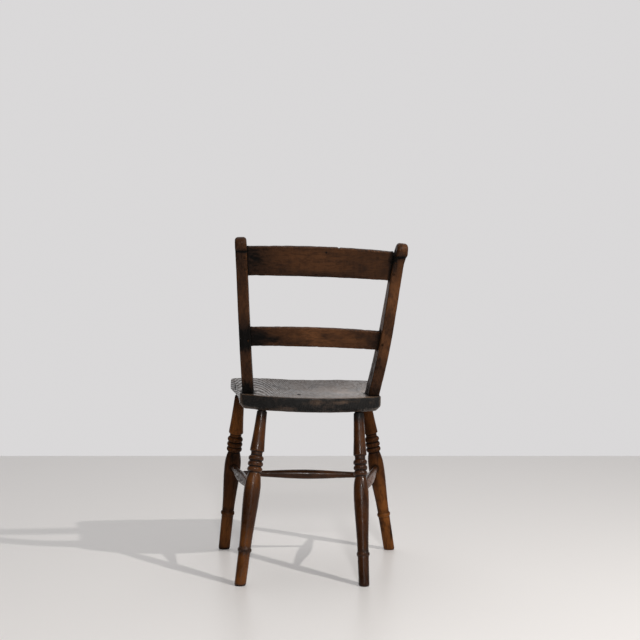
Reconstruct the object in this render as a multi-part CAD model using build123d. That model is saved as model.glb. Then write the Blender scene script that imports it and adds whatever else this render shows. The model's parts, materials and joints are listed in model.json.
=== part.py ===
from build123d import *
import math
import os

# Country kitchen chair with a saddled plank seat, a scroll-top bar back and turned legs.
# Millimetres and degrees. +Z is up, the sitter faces -Y and the sitter's left is +X.
# The origin is on the floor, under the middle of the chair's overall box.

# Stance of the seat on its old, unevenly worn legs
SEAT_HEIGHT = 459.5
SEAT_SLOPE_ANGLE = 2.0
SEAT_LEAN_ANGLE = 1.7

# Seat plank, in its own frame: origin on the top face, between the back posts and the front
SEAT_THICKNESS = 38.5
SEAT_FRONT_WIDTH = 392.0
SEAT_REAR_WIDTH = 358.0
SEAT_FRONT_REACH = 176.0
SEAT_REAR_REACH = 120.0
SEAT_FRONT_BOW = 9.0
SEAT_REAR_BOW = 56.0
SEAT_WAIST = 8.0
SEAT_FRONT_CORNER = 24.0
SEAT_REAR_CORNER = 24.0
SEAT_TOP_ROUND = 4.0
SEAT_UNDER_CHAMFER = 11.5

# Saddle hollow: deepest under the sitter, running out over the front edge and short of the rear
SADDLE_DEPTH = 12.5
SADDLE_FRONT_DEPTH = 2.5
SADDLE_SIDE_MARGIN = 21.0
SADDLE_BRIM = 7.0
SADDLE_REAR_MARGIN = 34.0

# Legs: how far in from the edges of the seat their axes meet its underside
LEG_FRONT_INSET = 53.5
LEG_REAR_INSET = 55.0
LEG_FRONT_SIDE_INSET = 28.0
LEG_REAR_SIDE_INSET = 58.0

# Feet: how far out and away each one stands from the top of its leg, and the racking of all four
FOOT_FRONT_SPREAD = 57.0
FOOT_REAR_SPREAD = 30.7
FOOT_FRONT_STRIDE = 84.6
FOOT_REAR_STRIDE = 86.1
FEET_TWIST_ANGLE = -6.3
FEET_SHIFT_X = 9.2
FEET_SHIFT_Y = 25.2

# Leg turning: diameters of a leg of girth 1, and heights from the middle bead of the three
LEG_TENON_DIAMETER = 20.6
LEG_TENON_LENGTH = 24.0
LEG_NECK_DIAMETER = 25.6
LEG_CUP_DIAMETER = 35.6
LEG_LIP_HEIGHT = 3.2
LEG_COLLAR_DIAMETER = 29.8
LEG_GROOVE_DIAMETER = 28.4
LEG_BEAD_DIAMETER = 38.0
LEG_BELLY_DIAMETER = 40.2
LEG_SHIN_DIAMETER = 29.6
LEG_ANKLE_DIAMETER = 34.8
LEG_FOOT_DIAMETER = 27.6
LEG_CUP_RISE = 34.0
LEG_BEAD_PITCH = 13.8
LEG_BELLY_DROP = 64.0
LEG_ANKLE_BEAD = 11.0
LEG_FRONT_ANKLE_DROP = 197.0
LEG_REAR_ANKLE_DROP = 212.5

# Hand turning: each leg's own girth, and how far below the seat its middle bead sits
LEG_GIRTHS = {"front_left": 1.09, "front_right": 1.05, "rear_left": 1.02, "rear_right": 0.945}
LEG_FRONT_LEFT_BEAD_DROP = 138.0
LEG_FRONT_RIGHT_BEAD_DROP = 130.5
LEG_REAR_LEFT_BEAD_DROP = 136.5
LEG_REAR_RIGHT_BEAD_DROP = 143.5
LEG_BEAD_DROPS = {
    "front_left": LEG_FRONT_LEFT_BEAD_DROP,
    "front_right": LEG_FRONT_RIGHT_BEAD_DROP,
    "rear_left": LEG_REAR_LEFT_BEAD_DROP,
    "rear_right": LEG_REAR_RIGHT_BEAD_DROP,
}

# Stretchers
STRETCHER_TENON_DIAMETER = 13.0
STRETCHER_TENON_DEPTH = 17.0
STRETCHER_END_DIAMETER = 14.4
SIDE_STRETCHER_DIAMETER = 27.0
CROSS_STRETCHER_DIAMETER = 25.0
CROSS_TENON_DIAMETER = 11.0
CROSS_TENON_DEPTH = 10.0
CROSS_STRETCHER_SHARE = 0.32

# Back posts, in the upright plane of each post: rearward travel and height from the seat
BACK_LEAN_ANGLE = 0.55
POST_SIDE_INSET = 22.5
POST_REAR_INSET = 27.5
POST_WIDTH = 28.2
POST_TOE_ANGLE = 4.6
POST_SPLAY_ANGLE = 4.1
POST_HEIGHT = 393.0
POST_BASE_DEPTH = 52.0
POST_KNEE_DEPTH = 46.5
POST_TOP_DEPTH = 27.0
POST_BASE_RAKE_ANGLE = 27.0
POST_TOP_RAKE_ANGLE = 19.0
POST_KNEE_HEIGHT = 130.0
POST_KNEE_TRAVEL = 63.3
POST_TOP_TRAVEL = 128.5
SCROLL_DIAMETER = 36.0
POST_ARRIS = 3.0
POST_TENON_WIDTH = 15.0
POST_TENON_DEPTH = 28.0

# Wedges in the post tenons
WEDGE_THICKNESS = 3.0
WEDGE_LENGTH = 24.0

# Rails, set into the inner faces of the posts
RAIL_TENON_LENGTH = 16.0
RAIL_TENON_THICKNESS = 8.0
RAIL_TENON_SHOULDER = 6.0
TOP_RAIL_HEIGHT = 71.5
TOP_RAIL_THICKNESS = 14.0
TOP_RAIL_BOW = 16.0
TOP_RAIL_LEVEL = 328.0
TOP_RAIL_SETBACK = 9.5
TOP_RAIL_CREST = 13.0
TOP_RAIL_SOFFIT = 9.5
LOWER_RAIL_HEIGHT = 48.5
LOWER_RAIL_THICKNESS = 13.0
LOWER_RAIL_BOW = 14.0
LOWER_RAIL_LEVEL = 137.0
LOWER_RAIL_SETBACK = 14.0
LOWER_RAIL_CREST = 14.0
LOWER_RAIL_SOFFIT = 12.0
RAIL_ARRIS = 2.5

# Pegs through the rail tenons, driven from behind
PEG_DIAMETER = 5.0
PEG_LENGTH = 19.0
PEG_PROUD = 0.4
PEG_INSET = 6.0
TOP_PEG_SPACING = 28.0

# Clearances of the wood joints
FIT = 0.1
END_GAP = 1.0

SEAT_FRAME = Pos(0, 0, SEAT_HEIGHT) * Rot(0, -SEAT_LEAN_ANGLE, 0) * Rot(-SEAT_SLOPE_ANGLE, 0, 0)
BACK_FRAME = Rot(0, -BACK_LEAN_ANGLE, 0)
SEAT_TOP = Plane.XY
SEAT_UNDERSIDE = Plane((0, 0, -SEAT_THICKNESS))


def point(location):
    """The place of a location, as a vector."""
    return Vector(location.position)


def both_sides(shape):
    """A left-hand shape of the back and its mirror image on the right, in the seat's frame."""
    return [BACK_FRAME * one for one in (shape, mirror(shape, about=Plane.YZ))]


def above(shape, plane):
    """What stands above a plane."""
    return split(shape, bisect_by=plane, keep=Keep.TOP)


# Back posts
def post_plane():
    """Upright plane of the left post: x runs rearward, y up, and the normal outward."""
    toe, splay = math.radians(POST_TOE_ANGLE), math.radians(POST_SPLAY_ANGLE)
    rearward = Vector(math.sin(toe), math.cos(toe), 0)
    level = Vector(math.cos(toe), -math.sin(toe), 0)
    outward = level * math.cos(splay) - Vector(0, 0, math.sin(splay))
    base = (SEAT_REAR_WIDTH / 2 - POST_SIDE_INSET, SEAT_REAR_REACH - POST_REAR_INSET, 0)
    return Plane(base, x_dir=rearward, z_dir=outward)


def raked(angle):
    """Direction that leans rearward by an angle from upright, in the post's plane."""
    return Vector(math.sin(math.radians(angle)), math.cos(math.radians(angle)))


def post_edges():
    """Front and rear curves of the post, from below the seat up to the scroll."""
    base, top = raked(POST_BASE_RAKE_ANGLE), raked(POST_TOP_RAKE_ANGLE)
    scroll = scroll_centre()
    square = Vector(top.Y, -top.X)
    front_top = scroll - square * (SCROLL_DIAMETER / 2)
    rear_top = front_top + square * POST_TOP_DEPTH
    foot = base * (SEAT_THICKNESS / base.Y)
    curves = []
    for side, head in ((-1, front_top), (1, rear_top)):
        start = Vector(side * POST_BASE_DEPTH / 2, 0)
        knee = Vector(POST_KNEE_TRAVEL + side * POST_KNEE_DEPTH / 2, POST_KNEE_HEIGHT)
        bend = Spline(start, knee, head, tangents=(base, top))
        curves.append((Line(start - foot, start), bend))
    return curves


def scroll_centre():
    """Centre of the rolled scroll, in the post's plane."""
    return Vector(POST_TOP_TRAVEL, POST_HEIGHT - SCROLL_DIAMETER / 2)


def post_blank():
    """The left post before its joints are cut, run on below the top of the seat."""
    (front_foot, front), (rear_foot, rear) = post_edges()
    strip = make_face([front_foot, front, Line(front @ 1, rear @ 1), rear, rear_foot,
                       Line(rear_foot @ 0, front_foot @ 0)])
    centre = scroll_centre()
    outline = strip + Pos(centre.X, centre.Y) * Circle(SCROLL_DIAMETER / 2)
    blank = extrude(outline, amount=POST_WIDTH / 2, both=True)
    arrises = blank.faces().sort_by(Axis.Z)[0].edges() + blank.faces().sort_by(Axis.Z)[-1].edges()
    return post_plane() * fillet(arrises, POST_ARRIS)


def post_tenon(clearance):
    """Raked bar of the left post's tenon, past both faces of the seat, grown by a clearance."""
    base = raked(POST_BASE_RAKE_ANGLE)
    half = Vector(POST_TENON_DEPTH / 2 + clearance, 0)
    below = -base * (2 * SEAT_THICKNESS)
    root = base * (POST_TENON_DEPTH / 2)
    outline = make_face(Polyline(below - half, below + half, root + half, root - half, close=True))
    return post_plane() * extrude(outline, amount=POST_TENON_WIDTH / 2 + clearance, both=True)


def post_wedge():
    """Wedge that spreads the left post's tenon, run on below the underside of the seat."""
    base = raked(POST_BASE_RAKE_ANGLE)
    tip = -base * (SEAT_THICKNESS / base.Y - WEDGE_LENGTH)
    heel = -base * (2 * SEAT_THICKNESS)
    flare = WEDGE_THICKNESS / 2 * (tip - heel).length / WEDGE_LENGTH
    half = Vector(flare, 0)
    outline = make_face(Polyline(tip, heel - half, heel + half, close=True))
    return post_plane() * extrude(outline, amount=POST_TENON_WIDTH / 2, both=True)


def rear_face_at(level):
    """Point of the post's rear curve at a height above the seat, and its rake there."""
    rear = post_edges()[1][1]
    low, high = 0.0, 1.0
    while high - low > 1e-9:
        middle = (low + high) / 2
        if (rear @ middle).Y < level:
            low = middle
        else:
            high = middle
    slope = rear % low
    return rear @ low, math.degrees(math.atan2(slope.X, slope.Y))


# Rails
class Rail:
    """A bowed rail between the posts, with a crested top edge and a hollowed lower edge."""

    def __init__(self, level, height, thickness, bow, setback, crest, soffit):
        self.height = height
        self.thickness = thickness
        self.bow = bow
        self.crest = crest
        self.soffit = soffit
        face, self.rake = rear_face_at(level)
        square = Vector(raked(self.rake).Y, -raked(self.rake).X)
        middle = face - square * (setback + thickness / 2)
        end = post_plane().from_local_coords((middle.X, middle.Y, -POST_WIDTH / 2))
        self.half_span = end.X
        self.frame = Pos(0, end.Y, end.Z) * Rot(-self.rake, 0, 0)

    def bowed_plate(self, outline, thickness, reach, arris=0):
        """An upright outline, bent rearward to the rail's bow and cut off in the posts."""
        radius = (self.half_span ** 2 + self.bow ** 2) / (2 * self.bow)
        ring = Circle(radius + thickness / 2) - Circle(radius - thickness / 2)
        bent = extrude(Pos(0, self.bow - radius) * ring, amount=self.height, both=True)
        front = extrude(Plane.XZ * outline, amount=self.half_span, both=True)
        plate = bent & front
        if arris:
            plate = fillet(plate.edges().filter_by(lambda edge: edge.length > self.half_span), arris)
        plate = self.frame * plate
        inner_face = post_plane().offset(reach - POST_WIDTH / 2)
        for _ in ("left", "right"):
            plate = mirror(split(plate, bisect_by=inner_face, keep=Keep.BOTTOM), about=Plane.YZ)
        return plate

    def tenon(self, clearance, gap):
        """Left tenon of the rail, rooted in its blade, grown by a clearance and lengthened by a gap."""
        width = 2 * (self.half_span + RAIL_TENON_LENGTH + POST_WIDTH)
        height = self.height - 2 * RAIL_TENON_SHOULDER + 2 * clearance
        plate = self.bowed_plate(Rectangle(width, height), RAIL_TENON_THICKNESS + 2 * clearance,
                                 RAIL_TENON_LENGTH + gap)
        return above(plate, post_plane().offset(-POST_WIDTH / 2 - RAIL_TENON_THICKNESS))

    def blade(self):
        """The rail between the posts."""
        reach = self.half_span + POST_WIDTH
        low, high = -self.height / 2, self.height / 2
        lower = ThreePointArc((-reach, low), (0, low + self.soffit), (reach, low))
        upper = ThreePointArc((reach, high), (0, high + self.crest), (-reach, high))
        outline = make_face([lower, Line(lower @ 1, upper @ 0), upper, Line(upper @ 1, lower @ 0)])
        return self.bowed_plate(outline, self.thickness, 0, RAIL_ARRIS)

    def solid(self):
        """Rail with its tenons."""
        left = self.tenon(0, 0)
        return self.blade() + left + mirror(left, about=Plane.YZ)


def peg(level):
    """Peg driven into the left post from behind, through a rail tenon at a height."""
    face, rake = rear_face_at(level)
    along = raked(rake)
    inward = Vector(-along.Y, along.X)
    across = PEG_INSET - POST_WIDTH / 2
    head = face - inward * PEG_PROUD
    plane = post_plane()
    start = plane.from_local_coords((head.X, head.Y, across))
    end = plane.from_local_coords((head.X + inward.X, head.Y + inward.Y, across))
    shank = Cylinder(PEG_DIAMETER / 2, PEG_LENGTH, align=(Align.CENTER, Align.CENTER, Align.MIN))
    return Plane(start, z_dir=end - start) * shank


# Seat
def seat_side(start, end, hand):
    """Hollow side of the seat, drawn in to its waist halfway between two corners."""
    return ThreePointArc(start, (start + end) / 2 - Vector(hand * SEAT_WAIST, 0), end)


def seat_plank():
    """Seat plank with its saddle, before any joint is cut."""
    front_half, rear_half = SEAT_FRONT_WIDTH / 2, SEAT_REAR_WIDTH / 2
    front = ThreePointArc((-front_half, -SEAT_FRONT_REACH), (0, -SEAT_FRONT_REACH - SEAT_FRONT_BOW),
                          (front_half, -SEAT_FRONT_REACH))
    rear = ThreePointArc((rear_half, SEAT_REAR_REACH), (0, SEAT_REAR_REACH + SEAT_REAR_BOW),
                         (-rear_half, SEAT_REAR_REACH))
    left, right = seat_side(front @ 1, rear @ 0, 1), seat_side(rear @ 1, front @ 0, -1)
    outline = make_face([front, left, rear, right])
    corners = outline.vertices().sort_by(Axis.Y)
    outline = fillet(corners[:2], SEAT_FRONT_CORNER)
    outline = fillet(outline.vertices().sort_by(Axis.Y)[-2:], SEAT_REAR_CORNER)
    plank = extrude(outline, amount=-SEAT_THICKNESS)
    plank = fillet(plank.faces().sort_by(Axis.Z)[-1].edges(), SEAT_TOP_ROUND)
    plank = chamfer(plank.faces().sort_by(Axis.Z)[0].edges(), SEAT_UNDER_CHAMFER)
    return plank - saddle()


def saddle():
    """Tool that hollows the seat: a loft of shallow arcs that runs out at the front edge."""
    front = SEAT_FRONT_REACH + SEAT_FRONT_BOW
    rear = SEAT_REAR_REACH + SEAT_REAR_BOW - SADDLE_REAR_MARGIN
    half = SEAT_FRONT_WIDTH / 2 - SADDLE_SIDE_MARGIN
    sections = []
    for share in (-1.1, -0.6, 0.0, 0.6, 1.1):
        reach = share * (front if share < 0 else rear)
        shallowing = SADDLE_DEPTH - SADDLE_FRONT_DEPTH if share < 0 else SADDLE_DEPTH
        bottom = shallowing * share ** 2 - SADDLE_DEPTH
        arc = ThreePointArc((-half, SADDLE_BRIM), (0, bottom), (half, SADDLE_BRIM))
        face = make_face([arc, Line(arc @ 1, arc @ 0)])
        sections.append(Plane((0, reach, 0), x_dir=(1, 0, 0), z_dir=(0, -1, 0)) * face)
    return loft(sections)


# Turned work
def turned(edges):
    """Solid of a profile of radius against height, listed from the top down, turned about Z."""
    first, last = edges[0] @ 0, edges[-1] @ 1
    axis = [Line((0, first.Y), first), Line(last, (0, last.Y)), Line((0, last.Y), (0, first.Y))]
    return Rot(90, 0, 0) * revolve(make_face(edges + axis), Axis.Y)


def bead(radius, groove, centre, width):
    """Half-round bead between two grooves."""
    return ThreePointArc((groove, centre + width / 2), (radius, centre), (groove, centre - width / 2))


class Leg:
    """A turned leg from its socket in the seat to the floor."""

    def __init__(self, end, side):
        name = f"{end}_{side}"
        hand = 1 if side == "left" else -1
        if end == "front":
            across = SEAT_FRONT_WIDTH / 2 - LEG_FRONT_SIDE_INSET
            along = LEG_FRONT_INSET - SEAT_FRONT_REACH
            spread, stride = FOOT_FRONT_SPREAD, -FOOT_FRONT_STRIDE
            self.ankle_drop = LEG_FRONT_ANKLE_DROP
        else:
            across = SEAT_REAR_WIDTH / 2 - LEG_REAR_SIDE_INSET
            along = SEAT_REAR_REACH + SEAT_REAR_BOW - LEG_REAR_INSET
            spread, stride = FOOT_REAR_SPREAD, FOOT_REAR_STRIDE
            self.ankle_drop = LEG_REAR_ANKLE_DROP
        feet = Pos(FEET_SHIFT_X, FEET_SHIFT_Y, 0) * Rot(0, 0, FEET_TWIST_ANGLE)
        self.top = point(SEAT_FRAME * Pos(hand * across, along, -SEAT_THICKNESS))
        self.foot = point(feet * Pos(hand * (across + spread), along + stride, 0))
        self.length = (self.top - self.foot).length
        self.plane = Plane(self.top, z_dir=self.top - self.foot)
        self.girth = LEG_GIRTHS[name]
        self.bead_drop = LEG_BEAD_DROPS[name]
        seat_normal = point(SEAT_FRAME * Pos(0, 0, 1)) - point(SEAT_FRAME)
        self.splay = math.radians(seat_normal.get_angle(self.plane.z_dir))

    def radius(self, diameter):
        """Radius of this leg where a leg of girth 1 has a diameter."""
        return diameter / 2 * self.girth

    def belly(self):
        """Widest place of the leg, on its axis, where the side stretcher joins it."""
        return self.plane.from_local_coords((0, 0, -self.bead_drop - LEG_BELLY_DROP))

    def blank(self):
        """The leg before its stretcher socket is cut."""
        tenon = LEG_TENON_DIAMETER / 2
        neck, cup = LEG_NECK_DIAMETER / 2, self.radius(LEG_CUP_DIAMETER)
        collar = self.radius(LEG_COLLAR_DIAMETER)
        groove, ring = self.radius(LEG_GROOVE_DIAMETER), self.radius(LEG_BEAD_DIAMETER)
        belly, shin = self.radius(LEG_BELLY_DIAMETER), self.radius(LEG_SHIN_DIAMETER)
        ankle, foot = self.radius(LEG_ANKLE_DIAMETER), self.radius(LEG_FOOT_DIAMETER)
        shoulder = -neck * math.tan(self.splay) - END_GAP
        beads = -self.bead_drop
        cup_level = beads + LEG_CUP_RISE
        beads_top = beads + 1.5 * LEG_BEAD_PITCH
        beads_end = beads - 1.5 * LEG_BEAD_PITCH
        belly_level = beads - LEG_BELLY_DROP
        ankle_level = beads - self.ankle_drop
        ankle_top, ankle_end = ankle_level + LEG_ANKLE_BEAD / 2, ankle_level - LEG_ANKLE_BEAD / 2
        floor = -self.length - 2 * foot
        top = Line((tenon, LEG_TENON_LENGTH), (tenon, shoulder))
        step = Line(top @ 1, (neck, shoulder))
        flare, fall = cup - neck, cup_level - shoulder
        shaft = Spline(step @ 1, (cup, cup_level), tangents=((2 * flare, 3 * fall), (3 * flare, 2 * fall)))
        lip = ThreePointArc(shaft @ 1, (cup, cup_level - LEG_LIP_HEIGHT / 2),
                            (collar, cup_level - LEG_LIP_HEIGHT))
        cove = Spline(lip @ 1, (groove, beads_top), tangents=((-1, -2), (0, -1)))
        rings = [bead(ring, groove, beads + step_up * LEG_BEAD_PITCH, LEG_BEAD_PITCH)
                 for step_up in (1, 0, -1)]
        swell = Spline((groove, beads_end), (belly, belly_level), tangents=((1, -3), (0, -1)))
        calf = Spline((belly, belly_level), (shin, ankle_top),
                      tangents=((0, -1), (foot - shin, -self.ankle_drop)))
        ankle_ring = bead(ankle, shin, ankle_level, LEG_ANKLE_BEAD)
        toe = Line((shin, ankle_end), (foot, floor))
        profile = [top, step, shaft, lip, cove, *rings, swell, calf, ankle_ring, toe]
        return above(self.plane * turned(profile), Plane.XY)

    def socket(self):
        """Blind hole in the seat for the leg's tenon."""
        hole = Cylinder(LEG_TENON_DIAMETER / 2 + FIT, 2 * (LEG_TENON_LENGTH + END_GAP))
        return self.plane * hole


class Stretcher:
    """A turned stretcher between two carriers of known radius, tenoned into both."""

    def __init__(self, start, end, carriers, diameter, tenon_diameter, tenon_depth):
        self.start = start
        self.length = (end - start).length
        self.plane = Plane(start, z_dir=end - start)
        self.diameter = diameter
        self.tenon_radius = tenon_diameter / 2
        self.tenon_depth = tenon_depth
        (self.near, near_lean), (self.far, far_lean) = [self.exit_from(*carrier) for carrier in carriers]
        self.begin = self.near + near_lean + END_GAP
        self.finish = self.length - self.far - far_lean - END_GAP

    def exit_from(self, axis, radius):
        """Way from a carrier's axis to its surface, and the further way that clears the whole end."""
        angle = math.radians(self.plane.z_dir.get_angle(axis))
        return radius / math.sin(angle), abs(STRETCHER_END_DIAMETER / 2 / math.tan(angle))

    def radius_at(self, share):
        """Radius at a share of the way between the carriers' axes."""
        half = (self.finish - self.begin) / 2
        away = min(abs(share * self.length - self.begin - half) / half, 1)
        shallowing = away * away * (3 - 2 * away)
        return (self.diameter - (self.diameter - STRETCHER_END_DIAMETER) * shallowing) / 2

    def span(self, gap):
        """Ends of the tenons along the stretcher, lengthened by a gap."""
        return self.near - self.tenon_depth - gap, self.length - self.far + self.tenon_depth + gap

    def solid(self):
        """Spindle that swells from its ends to its middle."""
        low, high = self.span(0)
        begin, finish = self.begin, self.finish
        tenon, end, middle = self.tenon_radius, STRETCHER_END_DIAMETER / 2, self.diameter / 2
        upper = Line((tenon, high), (tenon, finish))
        lower = Line((tenon, begin), (tenon, low))
        swell = Spline((end, finish), (middle, (begin + finish) / 2), (end, begin),
                       tangents=((0, -1), (0, -1)))
        profile = [upper, Line(upper @ 1, swell @ 0), swell, Line(swell @ 1, lower @ 0), lower]
        return self.plane * turned(profile)

    def sockets(self):
        """Holes for both tenons, as one bar with the running clearance."""
        low, high = self.span(END_GAP)
        bar = Cylinder(self.tenon_radius + FIT, high - low)
        return self.plane * Pos(0, 0, (low + high) / 2) * bar


def stretchers(legs):
    """The H of stretchers: one along each side and one across."""
    sides = {}
    for side in ("left", "right"):
        front, rear = legs[f"front_{side}"], legs[f"rear_{side}"]
        carriers = [(leg.plane.z_dir, leg.radius(LEG_BELLY_DIAMETER)) for leg in (front, rear)]
        sides[side] = Stretcher(front.belly(), rear.belly(), carriers, SIDE_STRETCHER_DIAMETER,
                                STRETCHER_TENON_DIAMETER, STRETCHER_TENON_DEPTH)
    share = CROSS_STRETCHER_SHARE
    ends = [side.plane.from_local_coords((0, 0, side.length * share)) for side in sides.values()]
    carriers = [(side.plane.z_dir, side.radius_at(share)) for side in sides.values()]
    cross = Stretcher(*ends, carriers, CROSS_STRETCHER_DIAMETER, CROSS_TENON_DIAMETER, CROSS_TENON_DEPTH)
    return sides, cross


def build():
    """All nodes of the chair, by name."""
    rails = {
        "top_rail": Rail(TOP_RAIL_LEVEL, TOP_RAIL_HEIGHT, TOP_RAIL_THICKNESS, TOP_RAIL_BOW,
                         TOP_RAIL_SETBACK, TOP_RAIL_CREST, TOP_RAIL_SOFFIT),
        "lower_rail": Rail(LOWER_RAIL_LEVEL, LOWER_RAIL_HEIGHT, LOWER_RAIL_THICKNESS, LOWER_RAIL_BOW,
                           LOWER_RAIL_SETBACK, LOWER_RAIL_CREST, LOWER_RAIL_SOFFIT),
    }
    top_peg_levels = [TOP_RAIL_LEVEL + side * TOP_PEG_SPACING / 2 for side in (-1, 1)]
    left_pegs = [peg(level) for level in (*top_peg_levels, LOWER_RAIL_LEVEL)]
    pegs = [one for left in left_pegs for one in both_sides(left)]
    wedges = [above(wedge, SEAT_UNDERSIDE) for wedge in both_sides(post_wedge())]
    nodes = {"rail_pegs": Compound(pegs), "post_wedges": Compound(wedges)}

    left_post = post_blank() - [rail.tenon(FIT, END_GAP) for rail in rails.values()] - left_pegs
    posts = both_sides(left_post)
    tenons = both_sides(post_tenon(0))
    for side, post, tenon in zip(("left", "right"), posts, tenons):
        shouldered = above(post, SEAT_TOP) + above(tenon, SEAT_UNDERSIDE)
        nodes[f"back_post_{side}"] = shouldered - wedges
    for name, rail in rails.items():
        nodes[name] = BACK_FRAME * rail.solid() - pegs
    nodes["seat"] = seat_plank() - both_sides(post_tenon(FIT))
    nodes = {name: SEAT_FRAME * shape for name, shape in nodes.items()}

    legs = {f"{end}_{side}": Leg(end, side) for end in ("front", "rear") for side in ("left", "right")}
    sides, cross = stretchers(legs)
    nodes["seat"] -= [leg.socket() for leg in legs.values()]
    for name, leg in legs.items():
        side = sides[name.split("_")[1]]
        nodes[f"leg_{name}"] = leg.blank() - side.sockets()
    for name, side in sides.items():
        nodes[f"side_stretcher_{name}"] = side.solid() - cross.sockets()
    nodes["cross_stretcher"] = cross.solid()
    return nodes


nodes = build()
box = Compound(list(nodes.values())).bounding_box()
to_origin = Pos(-(box.min.X + box.max.X) / 2, -(box.min.Y + box.max.Y) / 2, -box.min.Z)
os.makedirs("parts", exist_ok=True)
for name, shape in nodes.items():
    export_step(to_origin * shape, f"parts/{name}.step")
print("overall size", box.size, "shift", to_origin.position)
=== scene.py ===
import json
import math
import random

import bmesh
import bpy
import numpy as np
from mathutils import Matrix, Vector, noise
from mathutils.bvhtree import BVHTree


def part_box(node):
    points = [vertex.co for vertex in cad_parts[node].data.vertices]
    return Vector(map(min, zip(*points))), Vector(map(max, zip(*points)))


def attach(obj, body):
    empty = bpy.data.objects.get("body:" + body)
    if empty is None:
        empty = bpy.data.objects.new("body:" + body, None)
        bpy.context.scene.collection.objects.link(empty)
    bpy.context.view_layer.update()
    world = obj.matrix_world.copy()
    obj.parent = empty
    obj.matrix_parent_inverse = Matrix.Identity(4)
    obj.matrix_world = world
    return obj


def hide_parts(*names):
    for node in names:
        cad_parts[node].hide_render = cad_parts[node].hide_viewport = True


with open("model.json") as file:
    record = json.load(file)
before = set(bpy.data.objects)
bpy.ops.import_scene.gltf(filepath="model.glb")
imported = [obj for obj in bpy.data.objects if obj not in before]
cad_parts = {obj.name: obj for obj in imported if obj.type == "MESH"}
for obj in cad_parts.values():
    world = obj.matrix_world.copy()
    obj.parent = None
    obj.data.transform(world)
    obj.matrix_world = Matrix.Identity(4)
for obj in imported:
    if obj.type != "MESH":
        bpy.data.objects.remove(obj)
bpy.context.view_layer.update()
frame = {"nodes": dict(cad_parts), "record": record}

# Worn wooden kitchen chair. Metres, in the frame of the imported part: +Z up, the back towards +Y.
NODES = frame["nodes"]
MILLIMETRE = 0.001
TINY = 1e-6
UP = Vector((0, 0, 1))

# Camera
CAMERA_PLACE = Vector((0.32955, 3.75, 0.8672))
CAMERA_TURN = math.radians(5.3)
CAMERA_PITCH = math.radians(3.5)
CAMERA_LENS = 82.78
CAMERA_SENSOR = 36.0
LEVEL_VIEW = Vector((-math.sin(CAMERA_TURN), -math.cos(CAMERA_TURN), 0))

# Lamps
WHITE = (1, 1, 1)
KEY_PLACE = (-1.73, 1.74, 2.49)
KEY_TARGET = (0, 0, 0.35)
KEY_POWER = 54.0
KEY_SIZE = 0.06
KEY_TINT = (1, 0.97, 0.93)
PANEL_PLACE = (0.10, 4.9, 2.9)
PANEL_TARGET = (0, 0, 0.4)
PANEL_POWER = 100.0
PANEL_WIDTH = 0.36
PANEL_HEIGHT = 0.8
TOP_PLACE = (0.0, -1.7, 3.6)
TOP_TARGET = (0, 0, 0)
TOP_POWER = 42.0
TOP_SIZE = 4.0

# Light of the room's sides, and the directions over which one side passes into the next
WALL_LIGHT = 0.70
LEFT_LIGHT = 0.05
RIGHT_LIGHT = 0.30
CEILING_LIGHT = 0.28
SIDE_PASSAGE = (-0.7, 0.7)
WALL_PASSAGE = (-0.88, -0.45)
CEILING_PASSAGE = (0.35, 0.85)
ROOM_TINT = (1.0, 0.985, 0.99)

# Floor
WALL_DISTANCE = 1.851
FLOOR_REACH = 4.2
FLOOR_COLOUR = (0.78, 0.757, 0.74)
FLOOR_ROUGHNESS = 0.34
FLOOR_LEVEL = 0.25

# Which pieces touch which, for the dirt that gathers in their joints
NEIGHBOURS = {
    "seat": ["back_post_left", "back_post_right", "leg_front_left", "leg_front_right",
             "leg_rear_left", "leg_rear_right"],
    "back_post_left": ["seat", "top_rail", "lower_rail"],
    "back_post_right": ["seat", "top_rail", "lower_rail"],
    "top_rail": ["back_post_left", "back_post_right"],
    "lower_rail": ["back_post_left", "back_post_right"],
    "leg_front_left": ["seat", "side_stretcher_left"],
    "leg_front_right": ["seat", "side_stretcher_right"],
    "leg_rear_left": ["seat", "side_stretcher_left"],
    "leg_rear_right": ["seat", "side_stretcher_right"],
    "side_stretcher_left": ["leg_front_left", "leg_rear_left", "cross_stretcher"],
    "side_stretcher_right": ["leg_front_right", "leg_rear_right", "cross_stretcher"],
    "cross_stretcher": ["side_stretcher_left", "side_stretcher_right"],
    "post_wedges": ["seat"],
    "rail_pegs": [],
}
SAWN = ["back_post_left", "back_post_right", "top_rail", "lower_rail"]
LEGS = ["leg_front_left", "leg_front_right", "leg_rear_left", "leg_rear_right"]
STRETCHERS = ["side_stretcher_left", "side_stretcher_right", "cross_stretcher"]
JOINT_DIRT_REACH = 0.009

# Number of dents in the turned pieces, and how strongly each leg's beads are rubbed
LEG_DENTS = {"leg_front_left": 26, "leg_front_right": 26, "leg_rear_left": 26, "leg_rear_right": 90}
STRETCHER_DENTS = 14
LEG_WEAR = {"leg_front_left": 0.45, "leg_front_right": 0.55,
            "leg_rear_left": 0.75, "leg_rear_right": 0.35}

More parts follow.
